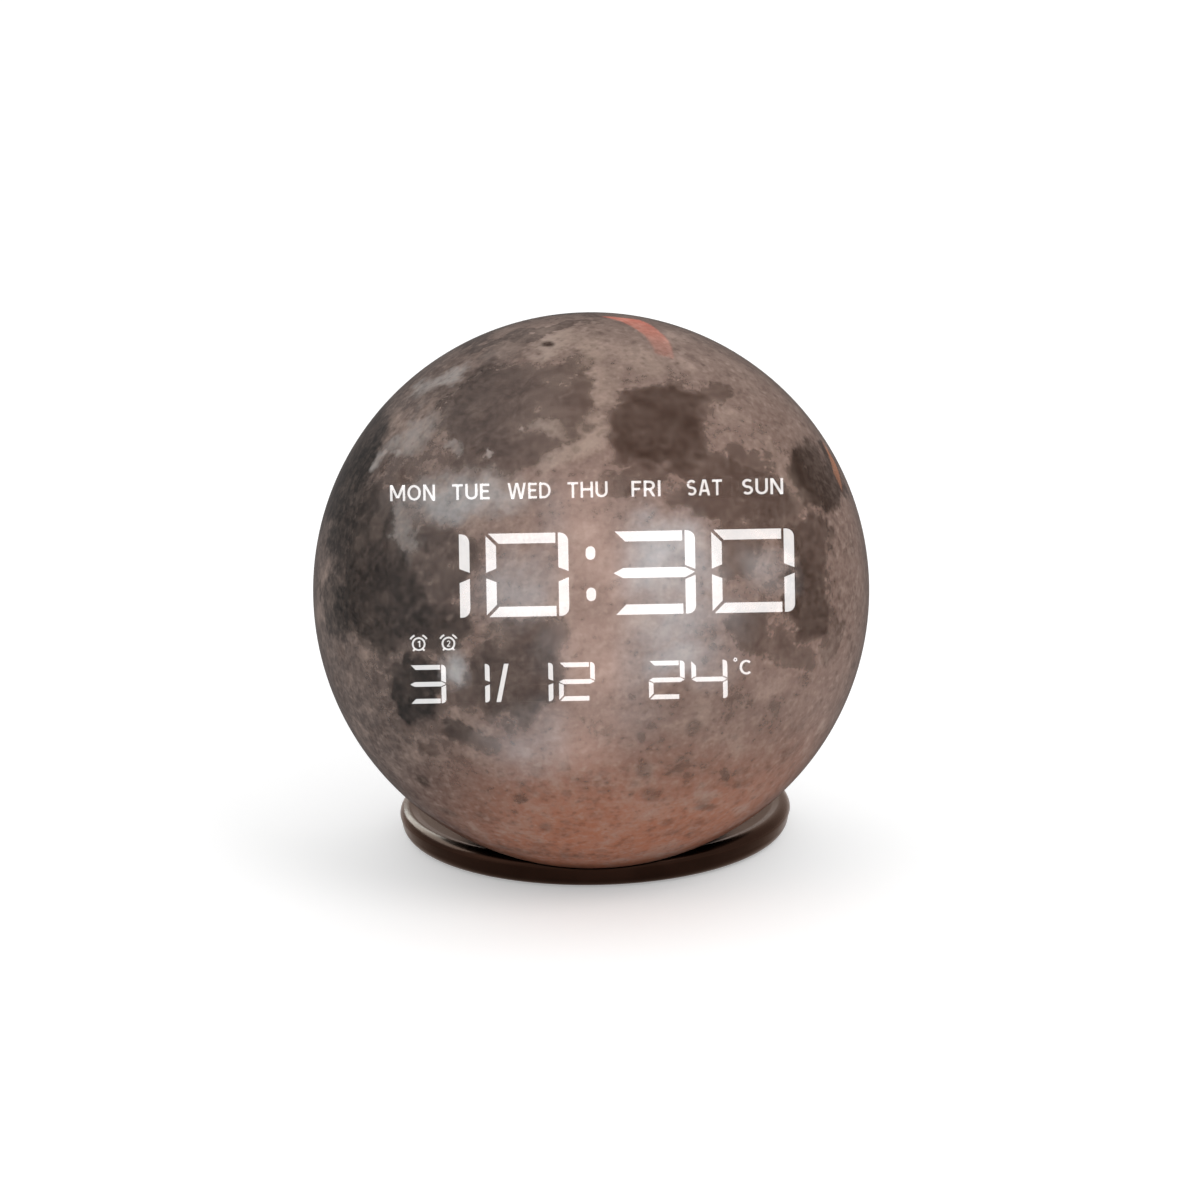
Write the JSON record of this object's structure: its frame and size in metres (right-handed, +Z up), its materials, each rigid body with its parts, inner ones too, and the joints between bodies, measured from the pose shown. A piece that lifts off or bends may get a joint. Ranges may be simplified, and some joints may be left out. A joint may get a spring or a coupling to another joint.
{
  "type": "speaker clock",
  "caption": "Ball-shaped digital clock with a moon-print dome over a segment display, a speaker, push buttons and a charging inlet in its flat back, and a low round base.",
  "frame": {"origin": "middle of the base pad's underside, where the clock rests on a table", "axes": "+Z up, -Y towards the viewer of the display, +X to that viewer's right"},
  "size_m": [0.12, 0.1274, 0.1214],
  "materials": {
    "casing": "satin black-brown moulding",
    "pad": "matte soft rubber",
    "printed_dome": "clear glossy shell with a grey-brown moon print",
    "mask": "matte black print",
    "film": "smoked diffuser film",
    "reflector": "white moulding",
    "circuit_board": "green solder mask on glass-fibre board",
    "carrier": "black moulding",
    "steel": "bright plated steel",
    "dark_steel": "black zinc",
    "grille": "black powder coat",
    "cell": "blue shrink sleeve",
    "cone": "pressed black paper",
    "copper": "enamelled winding",
    "spider": "stiffened cloth",
    "ferrite": "dark sintered ferrite",
    "button": "satin black-brown moulding with pale signs",
    "switch": "black moulding",
    "ribbon": "amber flat cable",
    "lead": "red insulation"
  },
  "bodies": {
    "case": {"base_shell": "casing", "base_pad": "pad", "base_screw_1": "dark_steel", "base_screw_2": "dark_steel", "base_screw_3": "dark_steel", "moon_dome": "printed_dome", "rear_shell": "casing", "rear_panel": "casing", "panel_screw_1": "dark_steel", "panel_screw_2": "dark_steel", "panel_screw_3": "dark_steel", "panel_screw_4": "dark_steel", "display_mask": "mask", "display_diffuser": "film", "display_reflector": "reflector", "display_board": "circuit_board", "display_carrier": "carrier", "display_screw_1": "steel", "display_screw_2": "steel", "display_screw_3": "steel", "carrier_screw_1": "steel", "carrier_screw_2": "steel", "carrier_screw_3": "steel", "battery_cell": "cell", "speaker_grille": "grille", "speaker_gasket": "pad", "speaker_basket": "grille", "speaker_surround": "pad", "speaker_spider": "spider", "speaker_top_plate": "steel", "speaker_magnet": "ferrite", "speaker_yoke": "steel", "speaker_screw_1": "steel", "speaker_screw_2": "steel", "speaker_screw_3": "steel", "speaker_screw_4": "steel", "switch_mode": "switch", "switch_minus": "switch", "switch_play": "switch", "switch_plus": "switch", "switch_alarm": "switch", "main_board": "circuit_board", "usb_port": "steel", "temperature_sensor": "switch", "radio_module": "steel", "board_screw_1": "steel", "board_screw_2": "steel", "board_screw_3": "steel", "display_ribbon": "ribbon", "battery_leads": "lead", "speaker_leads": "lead"},
    "cone": {"speaker_cone": "cone", "speaker_dust_cap": "cone", "voice_coil": "copper"},
    "mode_key": {"button_mode": "button"},
    "minus_key": {"button_minus": "button"},
    "play_key": {"button_play": "button"},
    "plus_key": {"button_plus": "button"},
    "alarm_key": {"button_alarm": "button"}
  },
  "joints": [
    {"name": "cone_travel", "type": "slide", "parent": "case", "child": "cone", "axis": [0, 0.9703, -0.2419], "range_m": [-0.0008, 0.0008], "stiffness_N_per_m": 1000, "deforming": ["speaker_surround", "speaker_spider"]},
    {"name": "mode_press", "type": "slide", "parent": "case", "child": "mode_key", "axis": [0, -0.9703, 0.2419], "range_m": [0, 0.0006], "stiffness_N_per_m": 2000},
    {"name": "minus_press", "type": "slide", "parent": "case", "child": "minus_key", "axis": [0, -0.9703, 0.2419], "range_m": [0, 0.0006], "stiffness_N_per_m": 2000},
    {"name": "play_press", "type": "slide", "parent": "case", "child": "play_key", "axis": [0, -0.9703, 0.2419], "range_m": [0, 0.0006], "stiffness_N_per_m": 2000},
    {"name": "plus_press", "type": "slide", "parent": "case", "child": "plus_key", "axis": [0, -0.9703, 0.2419], "range_m": [0, 0.0006], "stiffness_N_per_m": 2000},
    {"name": "alarm_press", "type": "slide", "parent": "case", "child": "alarm_key", "axis": [0, -0.9703, 0.2419], "range_m": [0, 0.0006], "stiffness_N_per_m": 2000}
  ]
}
